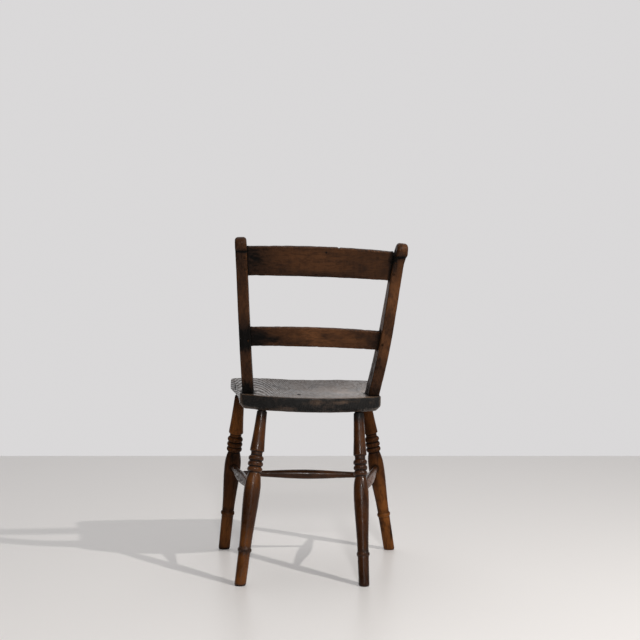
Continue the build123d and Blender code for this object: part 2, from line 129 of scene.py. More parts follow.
# Blackened places of a piece, and painted shade in the crease under each scroll head and in the
# seat's hole: centre, radii along x, y and z, and strength
SOOT_AND_SHADE = {
    "lower_rail": [((0.155, 0.155, 0.603), (0.034, 0.05, 0.024), 0.95),
                   ((0.118, 0.155, 0.600), (0.034, 0.05, 0.010), 0.60),
                   ((-0.150, 0.15, 0.600), (0.020, 0.05, 0.040), 0.06)],
    "back_post_left": [((0.182, 0.165, 0.606), (0.05, 0.06, 0.034), 1.0),
                       ((0.200, 0.215, 0.800), (0.05, 0.06, 0.050), 0.32),
                       # Painted shadow in the crease under the left scroll head
                       ((0.190, 0.217, 0.8150), (0.03, 0.014, 0.0042), 0.80),
                       ((0.175, 0.09, 0.468), (0.05, 0.06, 0.026), 0.9)],
    "back_post_right": [((-0.180, 0.20, 0.790), (0.010, 0.06, 0.040), 0.6),
                        # Painted shadow in the crease under the right scroll head
                        ((-0.192, 0.217, 0.8000), (0.03, 0.014, 0.0036), 1.0),
                        ((-0.145, 0.09, 0.462), (0.05, 0.06, 0.026), 0.40),
                        ((-0.150, 0.13, 0.535), (0.016, 0.06, 0.026), 0.42)],
    "top_rail": [((0.190, 0.20, 0.79), (0.080, 0.05, 0.10), 0.52),
                 ((0.020, 0.20, 0.754), (0.170, 0.05, 0.015), 0.45),
                 ((-0.013, 0.21, 0.813), (0.0022, 0.05, 0.0022), 1.5),
                 ((-0.178, 0.20, 0.79), (0.014, 0.05, 0.05), 0.6)],
    "seat": [((0.202, -0.090, 0.4560), (0.020, 0.016, 0.006), 1.3),
             # Painted shade inside the seat's small hole
             ((0.0376, 0.0231, 0.4493), (0.0045, 0.018, 0.012), 1.7)],
    "leg_rear_left": [((0.130, 0.10, 0.424), (0.04, 0.04, 0.022), 1.0),
                      ((0.160, 0.14, 0.300), (0.05, 0.05, 0.014), 0.32),
                      ((0.185, 0.18, 0.083), (0.05, 0.05, 0.016), 0.45),
                      ((0.200, 0.21, 0.000), (0.05, 0.05, 0.005), 0.70)],
    "leg_rear_right": [((-0.107, 0.10, 0.412), (0.04, 0.04, 0.022), 1.0),
                       ((-0.107, 0.15, 0.285), (0.04, 0.04, 0.034), 0.26),
                       ((-0.125, 0.19, 0.082), (0.04, 0.04, 0.012), 0.55),
                       ((-0.140, 0.21, 0.000), (0.05, 0.05, 0.005), 0.70)],
    "leg_front_left": [((0.19, -0.15, 0.262), (0.04, 0.04, 0.026), 0.5),
                       ((0.185, -0.15, 0.300), (0.05, 0.05, 0.026), 0.34),
                       ((0.215, -0.20, 0.112), (0.05, 0.05, 0.012), 0.40),
                       ((0.230, -0.22, 0.000), (0.05, 0.05, 0.007), 0.80)],
    "leg_front_right": [((-0.18, -0.15, 0.268), (0.04, 0.04, 0.028), 0.34),
                        ((-0.18, -0.15, 0.300), (0.05, 0.05, 0.022), 0.28),
                        ((-0.21, -0.18, 0.108), (0.05, 0.05, 0.008), 0.36),
                        ((-0.23, -0.22, 0.000), (0.05, 0.05, 0.006), 0.75)],
}

# Places rubbed down to paler wood, and pale patches of painted light on the cross stretcher, the
# right side stretcher and the right post's head, in the same form
POLISH_AND_PAINTED_LIGHT = {
    "lower_rail": [((0.000, 0.17, 0.605), (0.075, 0.05, 0.040), 0.75),
                   ((-0.070, 0.17, 0.600), (0.045, 0.05, 0.030), 0.45)],
    "top_rail": [((0.020, 0.21, 0.80), (0.110, 0.05, 0.040), 0.30)],
    "back_post_right": [((-0.180, 0.19, 0.690), (0.05, 0.06, 0.085), 0.70),
                        # Right post's head: painted highlight, partly rubbed wood
                        ((-0.195, 0.22, 0.835), (0.05, 0.06, 0.030), 0.45),
                        ((-0.160, 0.15, 0.570), (0.05, 0.06, 0.060), 0.50),
                        ((-0.158, 0.16, 0.660), (0.006, 0.06, 0.120), 0.60)],
    "back_post_left": [((0.184, 0.19, 0.700), (0.05, 0.06, 0.050), 0.12)],
    "leg_rear_left": [((0.168, 0.15, 0.262), (0.05, 0.05, 0.028), 0.5),
                      ((0.150, 0.12, 0.370), (0.05, 0.05, 0.040), 0.25),
                      ((0.192, 0.20, 0.050), (0.05, 0.05, 0.080), 0.70)],
    "leg_rear_right": [((-0.122, 0.16, 0.205), (0.05, 0.05, 0.050), 0.24),
                       ((-0.110, 0.13, 0.350), (0.05, 0.05, 0.040), 0.18)],
    "leg_front_right": [((-0.215, -0.17, 0.10), (0.06, 0.06, 0.160), 0.90),
                        ((-0.175, -0.13, 0.36), (0.06, 0.06, 0.060), 0.20)],
    "leg_front_left": [((0.22, -0.21, 0.04), (0.06, 0.06, 0.080), 0.48),
                       ((0.185, -0.14, 0.34), (0.06, 0.06, 0.060), 0.78)],
    # Painted reflection of the bright wall on the right side stretcher
    "side_stretcher_right": [((-0.17, 0.03, 0.21), (0.06, 0.10, 0.04), 0.60)],
    # Painted light on the cross stretcher's half that faces the key lamp
    "cross_stretcher": [((-0.070, 0.03, 0.20), (0.080, 0.08, 0.06), 0.32),
                        # Painted highlight on the cross stretcher's other half
                        ((0.070, 0.03, 0.20), (0.060, 0.08, 0.06), 0.30)],
    "seat": [((-0.060, 0.150, 0.4360), (0.120, 0.03, 0.0050), 0.55),
             ((-0.110, 0.030, 0.4460), (0.130, 0.140, 0.016), 0.90),
             ((0.020, 0.090, 0.4480), (0.180, 0.080, 0.012), 0.55)],
}

# Where hands rub the blackened rear edge of the seat, in the same form
REAR_EDGE_RUBBED = [((-0.035, 0.155, 0.432), (0.055, 0.05, 0.012), 0.22),
                    ((0.005, 0.155, 0.443), (0.024, 0.05, 0.007), 0.76),
                    ((-0.062, 0.155, 0.441), (0.034, 0.05, 0.007), 0.80),
                    ((0.075, 0.150, 0.426), (0.028, 0.05, 0.008), 0.90),
                    ((-0.110, 0.140, 0.436), (0.050, 0.05, 0.006), 0.16),
                    ((0.030, 0.155, 0.438), (0.050, 0.05, 0.005), 0.42)]

# Marks cut into the wood
NICK_X = -0.0446
NICK_NEAR = 0.004
NICK_DEPTH = 0.0024
NICK_WIDTH = 0.0021
NICK_FADE = (0.007, 0.002)
HOLE_PLACE = (0.0376, 0.0231, 0.4493)
HOLE_RADIUS = 0.0021
HOLE_TAPER = 0.6
HOLE_DEPTH = 0.018
HOLE_SHAPE = (1, 4, 1, 1)
HOLE_SEGMENTS = 14
SCROLL_RADIUS = 0.018
SCROLL_ROUND = 0.0085
SCROLL_FADE = (-0.012, 0.004)
HEAD_LEAN = {"back_post_left": 0.0, "back_post_right": -0.0030}
HEAD_LEAN_FADE = (-0.060, -0.020)

# Wear of the sawn pieces: dents in metres, stands in millimetres
RELAX_SHARE = 0.5
DENT_WIDTHS = (0.002, 0.006)
SAWN_DENT_DEPTHS = (0.0001, 0.0005)
TURNED_DENT_DEPTHS = (0.0001, 0.0006)
EDGE_DENT_WIDTHS = (0.0015, 0.004)
EDGE_DENT_DEPTHS = (0.0002, 0.0006)
EDGE_STAND = 0.12
EDGE_ROUNDS = 4
EDGE_RUB_DEPTH = 0.55 * MILLIMETRE
EDGE_RUB_BASE = 0.35
EDGE_RUB_NOISE = 55
WAVE_NOISE = 24
MARK_ROUNDS = 3
HOLLOW_ROUNDS = 2
REAR_EDGE_FACING = (0.45, 0.80)
REAR_EDGE_SOOT = 0.88
REAR_EDGE_SWING = 0.40
REAR_EDGE_NOISE = 34

# Wear of the turned pieces: depths and stands in millimetres
UNEVEN_DEPTH = 0.20
UNEVEN_NOISE = 60
UNEVEN_STRETCH = np.array([0.35, 1, 1])
OVAL_DEPTH = 0.16
BEAD_RUB_DEPTH = 0.45
BEAD_RUB_BASE = 0.25
BEAD_RUB_NOISE = 70
BEAD_SPAN = 0.011
BEAD_STAND = 1.2
CREASE_DEPTHS = (0.30, 1.4)

# How the turned pieces are felt and meshed
SEGMENTS = 64
FEELERS = 15
FEELERS_NEEDED = 5
FEELER_REACH = 0.05
PROFILE_START = 0.0004
PROFILE_STEP = 0.0005
END_DEPTH = 0.0003
AXIS_ROUNDS = 4
ROW_GAPS = (0.0011, 0.0042)
ROW_BEND = 0.16
BEND_WINDOW = 9
FOOT_RIM = 0.014
RIM_RUB = 0.10
RIM_PARTS = 5

# Pegs: each ring's depth under the head and its share of the radius
PEG_HEAD = ((0.0012, 1.0), (0.0005, 0.96), (0.0002, 0.80), (0.0, 0.42))
PEG_TIP_SHARE = 0.86
PEG_FACETS = 10
PEG_TRIM = (0.90, 1.0)

# Seeds of the random draws and the noise
SEAT_SEED = 3
PEG_SEED = 5
REAR_EDGE_SEED = 9
SAWN_SEED = 20
LEG_SEED = 40
STRETCHER_SEED = 60
WEDGE_SEED = 80
EDGE_RUB_SEED_STEP = 1
BEAD_RUB_SEED_STEP = 3
EDGE_DENT_SEED_STEP = 50
NOISE_SHIFT = (17.3, 5.7, 11.1)

# Directions that settle which way a piece's own axes point
LENGTH_SENSE = Vector((1, 0, 1))
THICKNESS_SENSE = Vector((0.3, 1, 0))
AXIS_SENSE = Vector((0, 1, 0.3))


# Mesh tools
def welded(node):
    """A closed bmesh of a CAD node, its split corners joined."""
    mesh = bmesh.new()
    mesh.from_mesh(NODES[node].data)
    bmesh.ops.remove_doubles(mesh, verts=mesh.verts, dist=TINY)
    return mesh


def tree_of(node):
    """Search tree of a CAD node's surface."""
    mesh = welded(node)
    tree = BVHTree.FromBMesh(mesh)
    mesh.free()
    return tree


TREES = {node: tree_of(node) for node in NEIGHBOURS}


def vertex_values(mesh, key):
    """Vertex places or normals of a mesh as an array."""
    flat = np.empty(len(mesh.vertices) * 3)
    mesh.vertices.foreach_get(key, flat)
    return flat.reshape(-1, 3)


def put(mesh, places):
    """Moves a mesh's vertices."""
    mesh.vertices.foreach_set("co", places.ravel())
    mesh.update()


class Neighbourhood:
    """Averages over the edges of a mesh."""

    def __init__(self, mesh):
        edges = np.empty(len(mesh.edges) * 2, dtype=np.int64)
        mesh.edges.foreach_get("vertices", edges)
        self.a, self.b = edges.reshape(-1, 2).T
        self.count = len(mesh.vertices)
        self.valence = np.bincount(np.concatenate([self.a, self.b]), minlength=self.count)

    def mean(self, values):
        """Mean of each vertex's neighbours."""
        columns = values if values.ndim > 1 else values[:, None]
        total = np.empty_like(columns)
        for i, column in enumerate(columns.T):
            total[:, i] = np.bincount(self.a, column[self.b], self.count)
            total[:, i] += np.bincount(self.b, column[self.a], self.count)
        total /= np.maximum(self.valence, 1)[:, None]
        return total if values.ndim > 1 else total[:, 0]

    def smooth(self, values, rounds):
        """Values relaxed towards their neighbours."""
        for _ in range(rounds):
            values = values + RELAX_SHARE * (self.mean(values) - values)
        return values

    def bulge(self, places, outward, rounds):
        """How far each vertex stands out of its neighbours, in millimetres."""
        stand = ((places - self.mean(places)) * outward).sum(1)
        return self.smooth(stand, rounds) / MILLIMETRE


def step_between(low, high, values):
    """Smooth rise from 0 at low to 1 at high."""
    t = np.clip((values - low) / (high - low), 0, 1)
    return t * t * (3 - 2 * t)


def noise_field(places, scale, seed):
    """Soft noise from about -1 to 1 at each place."""
    shift = Vector([seed * step for step in NOISE_SHIFT])
    return np.array([noise.noise(Vector(place) * scale + shift) for place in places])


def dent(places, directions, chances, count, seed, widths, depths):
    """Presses small hollows into the surface, at vertices drawn with the given chances."""
    draw = np.random.default_rng(seed)
    centres = draw.choice(len(places), size=count, p=chances / chances.sum())
    moved = places.copy()
    for centre in centres:
        width = draw.uniform(*widths)
        depth = draw.uniform(*depths)
        away = np.linalg.norm(places - places[centre], axis=1)
        moved -= directions * (depth * np.exp(-(away / width) ** 2))[:, None]
    return moved


def joint_dirt(node, places):
    """1 where another piece joins, falling to 0 at the reach of the dirt."""
    nearest = np.full(len(places), JOINT_DIRT_REACH)
    for other in NEIGHBOURS[node]:
        tree = TREES[other]
        for i, place in enumerate(places):
            distance = tree.find_nearest(place, JOINT_DIRT_REACH)[3]
            if distance is not None:
                nearest[i] = min(nearest[i], distance)
    return 1 - step_between(0, JOINT_DIRT_REACH, nearest)


def patches(spots, places):
    """Soft patches about some centres."""
    amount = np.zeros(len(places))
    for centre, radii, strength in spots:
        away = (places - np.array(centre)) / np.array(radii)
        amount = np.maximum(amount, strength * np.exp(-(away ** 2).sum(1)))
    return amount


def set_mark(mesh, name, values):
    """Stores one number per vertex for the material."""
    attribute = mesh.attributes.new(name, "FLOAT", "POINT")
    attribute.data.foreach_set("value", np.asarray(values, dtype=np.float32))


def add_piece(node, mesh, place, slot, material, wear, grime, soot_and_shade=0.0):
    """Puts a mesh, shaped in a piece's own frame, into the chair with its marks and material."""
    grain = mesh.attributes.new("grain", "FLOAT_VECTOR", "POINT")
    grain.data.foreach_set("vector", vertex_values(mesh, "co").astype(np.float32).ravel())
    mesh.transform(place)
    places = vertex_values(mesh, "co")
    places[:, 2] = np.maximum(places[:, 2], 0)
    put(mesh, places)
    set_mark(mesh, "wear", np.clip(wear, 0, 1))
    set_mark(mesh, "grime", np.clip(np.maximum(grime, joint_dirt(node, places)), 0, 1))
    set_mark(mesh, "soot_and_shade", np.maximum(soot_and_shade, patches(SOOT_AND_SHADE.get(node, []), places)))
    set_mark(mesh, "polish_and_painted_light", patches(POLISH_AND_PAINTED_LIGHT.get(node, []), places))
    mesh.polygons.foreach_set("use_smooth", [True] * len(mesh.polygons))
    mesh.materials.clear()
    mesh.materials.append(material)
    piece = bpy.data.objects.new(node + "_worn", mesh)
    bpy.context.scene.collection.objects.link(piece)
    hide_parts(node)
    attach(piece, "root")


def applied(mesh, kind, **settings):
    """A mesh with one modifier applied."""
    holder = bpy.data.objects.new("holder", mesh)
    bpy.context.scene.collection.objects.link(holder)
    modifier = holder.modifiers.new("shape", kind)
    for key, value in settings.items():
        setattr(modifier, key, value)
    shown = holder.evaluated_get(bpy.context.evaluated_depsgraph_get())
    result = bpy.data.meshes.new_from_object(shown)
    bpy.data.objects.remove(holder)
    return result


# Sawn pieces
def grain_frame(node):
    """Frame of a sawn piece: x along its length, y through its thickness, z up its width."""
    mesh = welded(node)
    places = np.array([vertex.co for vertex in mesh.verts])
    mesh.free()
    axes = np.linalg.svd(places - places.mean(0), full_matrices=False)[2]
    length = Vector(axes[0])
    thickness = Vector(axes[2])
    if length.dot(LENGTH_SENSE) < 0:
        length.negate()
    if thickness.dot(THICKNESS_SENSE) < 0:
        thickness.negate()
    place = Matrix((length, thickness, length.cross(thickness))).transposed().to_4x4()
    place.translation = (places.min(0) + places.max(0)) / 2
    return place


def sawn_mesh(node, place, voxel, rounds, seed, dents, waviness):
    """A worn copy of a sawn piece, in its own frame: even mesh, rubbed arrises, dents and chips."""
    solid = welded(node)
    bmesh.ops.transform(solid, matrix=place.inverted(), verts=solid.verts)
    tree = BVHTree.FromBMesh(solid)
    mesh = bpy.data.meshes.new(node + "_worn")
    solid.to_mesh(mesh)
    solid.free()
    mesh = applied(mesh, "REMESH", mode="VOXEL", voxel_size=voxel)
    near = Neighbourhood(mesh)
    sharp = np.array([tree.find_nearest(spot)[0] for spot in vertex_values(mesh, "co")])
    snug = joint_dirt(node, sharp @ np.array(place.to_3x3()).T + np.array(place.translation))
    places = near.smooth(sharp, rounds)
    put(mesh, places)
    outward = vertex_values(mesh, "normal")
    edge = np.clip(near.bulge(places, outward, EDGE_ROUNDS) / EDGE_STAND, 0, 1)
    wave = 0.5 + 0.5 * noise_field(places, WAVE_NOISE, seed)
    rub = EDGE_RUB_BASE + noise_field(places, EDGE_RUB_NOISE, seed + EDGE_RUB_SEED_STEP)
    depth = waviness * wave + EDGE_RUB_DEPTH * edge * np.clip(rub, 0, 1)
    places = places - outward * depth[:, None]
    places = dent(places, outward, np.ones(len(places)), dents, seed,
                  DENT_WIDTHS, SAWN_DENT_DEPTHS)
    places = dent(places, outward, edge ** 2 + TINY, dents, seed + EDGE_DENT_SEED_STEP,
                  EDGE_DENT_WIDTHS, EDGE_DENT_DEPTHS)
    # Where another piece joins, the surface stays as it was cut
    put(mesh, places + (sharp - places) * snug[:, None])
    return mesh


def sawn_marks(mesh, sharpness):
    """Rubbed and hollow places of a sawn piece."""
    near = Neighbourhood(mesh)
    bulge = near.bulge(vertex_values(mesh, "co"), vertex_values(mesh, "normal"), MARK_ROUNDS)
    bulge = bulge / sharpness
    return np.clip(bulge, 0, 1), near.smooth(np.clip(-bulge, 0, 1), HOLLOW_ROUNDS)


def round_scroll(mesh, lean):
    """Rubs the ends of a post's rolled scroll round, and lets the head lean sideways."""
    places = vertex_values(mesh, "co")
    top = places[:, 0].max()
    places[:, 1] += lean * step_between(*HEAD_LEAN_FADE, places[:, 0] - top)
    head = places[places[:, 0] > top - SCROLL_RADIUS]
    level = (head[:, 1].max() + head[:, 1].min()) / 2
    half = (head[:, 1].max() - head[:, 1].min()) / 2
    middle = np.array([top - SCROLL_RADIUS, head[:, 2].max() - SCROLL_RADIUS])
    rounding = SCROLL_ROUND * step_between(*SCROLL_FADE, places[:, 0] - middle[0])
    spoke = places[:, [0, 2]] - middle
    reach = np.maximum(np.linalg.norm(spoke, axis=1), TINY)
    side = places[:, 1] - level
    over = reach - (SCROLL_RADIUS - rounding)
    beside = np.abs(side) - (half - rounding)
    corner = (over > 0) & (beside > 0) & (rounding > 0)
    pull = np.minimum(1, rounding / np.maximum(np.hypot(over, beside), TINY))
    pull = np.where(corner, pull, 1)
    spoke *= (np.where(corner, SCROLL_RADIUS - rounding + over * pull, reach) / reach)[:, None]
    side = np.where(corner, np.sign(side) * (half - rounding + beside * pull), side)
    put(mesh, np.stack([middle[0] + spoke[:, 0], side + level, middle[1] + spoke[:, 1]], axis=1))


def nick_rail(mesh, place):
    """Small saw nick in the crest of the top rail."""
    turn = np.array(place.to_3x3())
    start = np.array(place.translation)
    world = vertex_values(mesh, "co") @ turn.T + start
    across = np.abs(world[:, 0] - NICK_X)
    crest = world[across < NICK_NEAR, 2].max()
    fade = step_between(crest - NICK_FADE[0], crest - NICK_FADE[1], world[:, 2])
    world[:, 2] -= NICK_DEPTH * np.exp(-(across / NICK_WIDTH) ** 2) * fade
    put(mesh, (world - start) @ turn)


def rear_edge_soot(mesh, place):
    """Blackening of the seat's rear edge, thinner where hands rub it."""
    places = vertex_values(mesh, "co")
    facing = step_between(*REAR_EDGE_FACING, vertex_values(mesh, "normal")[:, 1])
    rubbed = patches(REAR_EDGE_RUBBED, places + np.array(place.translation))
    swing = REAR_EDGE_SWING * noise_field(places, REAR_EDGE_NOISE, REAR_EDGE_SEED)
    return facing * (REAR_EDGE_SOOT + swing) * (1 - rubbed)


def pierce_seat(mesh, place):
    """A small old hole in the seat."""
    tool = bmesh.new()
    spot = Matrix.Translation(place.inverted() @ Vector(HOLE_PLACE)) @ Matrix.Diagonal(HOLE_SHAPE)
    bmesh.ops.create_cone(tool, cap_ends=True, segments=HOLE_SEGMENTS,
                          radius1=HOLE_RADIUS * HOLE_TAPER, radius2=HOLE_RADIUS,
                          depth=HOLE_DEPTH, matrix=spot)
    cutter_mesh = bpy.data.meshes.new("hole")
    tool.to_mesh(cutter_mesh)
    tool.free()
    cutter = bpy.data.objects.new("hole", cutter_mesh)
    bpy.context.scene.collection.objects.link(cutter)
    pierced = applied(mesh, "BOOLEAN", operation="DIFFERENCE", object=cutter, solver="EXACT")
    bpy.data.objects.remove(cutter)
    return pierced


# Turned pieces
def leg_axis(node):
    """Foot and tenon end of a leg, on its axis."""
    name = node.replace("leg", "foot")
    mounts = frame["record"]["mounts"]
    foot = next(Vector(mount["pos_m"]) for mount in mounts if mount["name"] == name)
    places = vertex_values(NODES[node].data, "co")
    top = Vector(places[places[:, 2].argmax()])
    for _ in range(AXIS_ROUNDS):
        heights = places @ np.array((top - foot).normalized())
        top = Vector(places[heights > heights.max() - END_DEPTH].mean(0))
    return foot, top


def stretcher_axis(node):
    """Ends of a stretcher's tenons, on its axis."""
    places = vertex_values(NODES[node].data, "co")
    heights = places @ np.linalg.svd(places - places.mean(0), full_matrices=False)[2][0]
    ends = [places[heights < heights.min() + END_DEPTH].mean(0),
            places[heights > heights.max() - END_DEPTH].mean(0)]
    ends.sort(key=lambda end: end[0] + end[1])
    return Vector(ends[0]), Vector(ends[1])


def axis_frame(start, end):
    """Frame with x along an axis."""
    along = (end - start).normalized()
    across = along.cross(AXIS_SENSE).normalized()
    place = Matrix((along, across, along.cross(across))).transposed().to_4x4()
    place.translation = start
    return place


def turned_profile(node, place, length):
    """Stations along the axis and the radius at each, felt from outside the solid."""
    tree = TREES[node]
    turn = place.to_3x3()
    angles = [i * math.tau / FEELERS for i in range(FEELERS)]
    spokes = [turn @ Vector((0, math.cos(angle), math.sin(angle))) for angle in angles]
    kept = []
    for station in np.arange(PROFILE_START, length, PROFILE_STEP):
        centre = place.translation + turn @ Vector((station, 0, 0))
        hits = [tree.ray_cast(centre + spoke * FEELER_REACH, -spoke, FEELER_REACH)[3]
                for spoke in spokes]
        found = sorted(FEELER_REACH - hit for hit in hits if hit is not None)
        if len(found) >= FEELERS_NEEDED:
            kept.append((station, found[len(found) // 2]))
    return np.array(kept).T


def crowded(stations, radii):
    """Stations that crowd where the profile bends."""
    slope = np.gradient(radii, stations)
    window = np.ones(BEND_WINDOW) / BEND_WINDOW
    bend = np.convolve(np.abs(np.gradient(slope, stations)), window, mode="same")
    gap = np.clip(ROW_BEND / np.maximum(bend, TINY), *ROW_GAPS)
    steps = np.cumsum(np.gradient(stations) / gap)
    return np.interp(np.linspace(steps[0], steps[-1], int(steps[-1]) + 2), steps, stations)


def relief(rows, widths):
    """How far a turned profile stands out of its own running mean, in millimetres."""
    even = np.arange(rows[0], rows[-1], PROFILE_STEP)
    values = np.interp(even, rows, widths)
    side = int(BEAD_SPAN / (2 * PROFILE_STEP))
    count = 2 * side + 1
    mean = np.convolve(np.pad(values, side, mode="edge"), np.ones(count) / count, mode="valid")
    return np.interp(rows, even, values - mean) / MILLIMETRE


def lathe_faces(count):
    """Faces of stacked rings with a fan at each end."""
    faces = []
    last = (count - 1) * SEGMENTS
    for i in range(SEGMENTS):
        j = (i + 1) % SEGMENTS
        for row in range(0, last, SEGMENTS):
            faces.append((row + i, row + j, row + SEGMENTS + j, row + SEGMENTS + i))
        faces.append((count * SEGMENTS, j, i))
        faces.append((count * SEGMENTS + 1, last + i, last + j))
    return faces


def level_foot(grid, rows, widths, ring, up):
    """Saws a foot level: its last rows crowd down to the floor, with a rubbed rim."""
    rim_rows = np.flatnonzero(rows < FOOT_RIM)
    for row in rim_rows:
        share = 1 - row / len(rim_rows)
        rubbed = RIM_RUB * max(0, share * RIM_PARTS - (RIM_PARTS - 1)) ** 2
        around = widths[row] * (1 - rubbed) * ring
        floor = -(around @ np.array(up[1:])) / up[0]
        grid[row, :, 0] = FOOT_RIM + (floor - FOOT_RIM) * share
        grid[row, :, 1:] = around


def turned_mesh(node, start, end, seed, on_floor, dents):
    """A worn copy of a turned piece, the frame it is in, and its rubbed and hollow places."""
    place = axis_frame(start, end)
    stations, radii = turned_profile(node, place, (end - start).length)
    rows = crowded(stations, radii)
    count = len(rows)
    widths = np.interp(rows, stations, radii)
    angles = np.arange(SEGMENTS) * math.tau / SEGMENTS
    ring = np.stack([np.cos(angles), np.sin(angles)], 1)
    grid = np.empty((count, SEGMENTS, 3))
    grid[:, :, 0] = rows[:, None]
    grid[:, :, 1:] = widths[:, None, None] * ring[None]
    if on_floor:
        level_foot(grid, rows, widths, ring, place.inverted().to_3x3() @ UP)
    places = grid.reshape(-1, 3)
    spokes = np.tile(np.concatenate([np.zeros((SEGMENTS, 1)), ring], 1), (count, 1))
    stand = np.repeat(relief(rows, widths), SEGMENTS)
    uneven = 0.5 + 0.5 * noise_field(places * UNEVEN_STRETCH, UNEVEN_NOISE, seed)
    long_way = np.random.default_rng(seed).uniform(0, math.tau)
    oval = 0.5 + 0.5 * np.cos(2 * (np.tile(angles, count) - long_way))
    rub = BEAD_RUB_BASE + noise_field(places, BEAD_RUB_NOISE, seed + BEAD_RUB_SEED_STEP)
    rub = np.clip(rub, 0, 1) * np.clip(stand / BEAD_STAND, 0, 1)
    depth = MILLIMETRE * (UNEVEN_DEPTH * uneven + OVAL_DEPTH * oval + BEAD_RUB_DEPTH * rub)
    places = places - spokes * depth[:, None]
    places = dent(places, spokes, np.ones(len(places)), dents, seed,
                  DENT_WIDTHS, TURNED_DENT_DEPTHS)
    caps = np.stack([places[:SEGMENTS].mean(0), places[-SEGMENTS:].mean(0)])
    mesh = bpy.data.meshes.new(node + "_worn")
    mesh.from_pydata(np.concatenate([places, caps]).tolist(), [], lathe_faces(count))
    shape = bmesh.new()
    shape.from_mesh(mesh)
    bmesh.ops.recalc_face_normals(shape, faces=shape.faces)
    shape.to_mesh(mesh)
    shape.free()
    stand = np.concatenate([stand, [0, 0]])
    return mesh, place, np.clip(stand / BEAD_STAND, 0, 1), step_between(*CREASE_DEPTHS, -stand)


# Pegs
def islands(mesh):
    """Vertex places of each loose part of a bmesh."""
    left = set(mesh.verts)
    found = []
    while left:
        group = []
        stack = [left.pop()]
        while stack:
            vertex = stack.pop()
            group.append(vertex)
            others = {edge.other_vert(vertex) for edge in vertex.link_edges} & left
            left -= others
            stack += others
        found.append(np.array([vertex.co for vertex in group]))
    return sorted(found, key=lambda places: tuple(places.mean(0)))


def peg_rings(shape, places, draw):
    """Rings of one whittled peg, from its tip to its domed, proud head."""
    centre = places.mean(0)
    along = np.linalg.svd(places - centre, full_matrices=False)[2][0]
    along = along if along[1] > 0 else -along
    heights = (places - centre) @ along
    radius = np.linalg.norm(places - centre - np.outer(heights, along), axis=1).max()
    place = axis_frame(Vector(centre), Vector(centre + along))
    turn = draw.uniform(0, math.tau)
    facets = [radius * draw.uniform(*PEG_TRIM) for _ in range(PEG_FACETS)]
    stations = [(heights.min(), PEG_TIP_SHARE)]
    stations += [(heights.max() - down, share) for down, share in PEG_HEAD]
    rings = []
    for station, share in stations:
        ring = []
        for i, facet in enumerate(facets):
            angle = turn + i * math.tau / PEG_FACETS
            spoke = Vector((0, math.cos(angle), math.sin(angle))) * facet * share
            ring.append(shape.verts.new(place @ (spoke + Vector((station, 0, 0)))))
        rings.append(ring)
    return rings


def peg_mesh():
    """All pegs of the part as one mesh."""
    solid = welded("rail_pegs")
    shape = bmesh.new()
    draw = random.Random(PEG_SEED)
    for places in islands(solid):
        rings = peg_rings(shape, places, draw)
        for one, two in zip(rings, rings[1:]):
            for i, vertex in enumerate(one):
                j = (i + 1) % PEG_FACETS
                shape.faces.new((vertex, one[j], two[j], two[i]))
        shape.faces.new(rings[0])
        shape.faces.new(rings[-1])
    solid.free()
    bmesh.ops.recalc_face_normals(shape, faces=shape.faces)
    mesh = bpy.data.meshes.new("rail_pegs_worn")
    shape.to_mesh(mesh)
    shape.free()
    return mesh


# Wood noise: cycles per metre along and across the grain, detail, roughness and distortion
STREAKS = ((7.0, 210.0, 210.0), 4.0, 0.6, 0.4)
FIBRES = ((30.0, 900.0, 900.0), 2.0, 0.6, 0.0)
BLOTCHES = ((14.0, 30.0, 30.0), 5.0, 0.62, 0.5)
SMUDGES = ((45.0, 170.0, 170.0), 4.0, 0.7, 0.8)
SPECKS = ((240.0, 240.0, 240.0), 3.0, 0.7, 0.0)
CURLS = ((130.0, 40.0, 22.0), 2.0, 0.5, 0.3)
SCRATCHES = ((800.0, 14.0, 40.0), 2.0, 0.5, 0.2)
LATHE_LINES = ((420.0, 22.0, 22.0), 3.0, 0.6, 0.0)
RING_SWAY = ((5.0, 16.0, 16.0), 3.0, 0.55, 0.0)
BOARD_SHIFT = (31.0, 57.0, 83.0)

# Where each noise or mark begins to show, and where it shows fully
BODY_RANGE = (0.30, 0.60)
STREAK_RANGE = (0.48, 0.78)
PORE_RANGE = (0.58, 0.70)
CURL_RANGE = (0.42, 0.62)
BARE_AND_PAINTED_LIGHT_RANGE = (0.25, 0.60)
WEAR_RANGE = (0.40, 0.66)
SCRATCH_RANGE = (0.66, 0.72)
MOTTLE_RANGE = (0.46, 0.64)
DIRT_RANGE = (0.05, 0.38)
HALO_RANGE = (0.0, 0.55)
SOOT_AND_SHADE_RANGE = (0.20, 0.80)
SOOT_AND_SHADE_START = (0.03, 0.40)
DULL_RANGE = (0.44, 0.60)
RING_END = (1.0, 0.93)
RING_RISE = 0.25

# How strongly each of them colours the wood
STREAK_TINT = 0.15
WEAR_TINT = 0.75
SCRATCH_TINT = 0.13
MOTTLE_TINT = 0.45
DIRT_TINT = 0.92
HALO_TINT = 0.75
SOOT_AND_SHADE_RAGGED = 1.3

# How much roughness and height they give
STREAK_DULL = 0.20
BLOTCH_DULL = 0.14
GRAIN_DULL = 0.40
SMUDGE_DULL = 0.26
FILTH_AND_SHADE_DULL = 0.42
BURNISH = 0.5
GRAIN_HEIGHT = 0.5
SPECK_HEIGHT = 0.15
BUMP_STRENGTH = 0.4


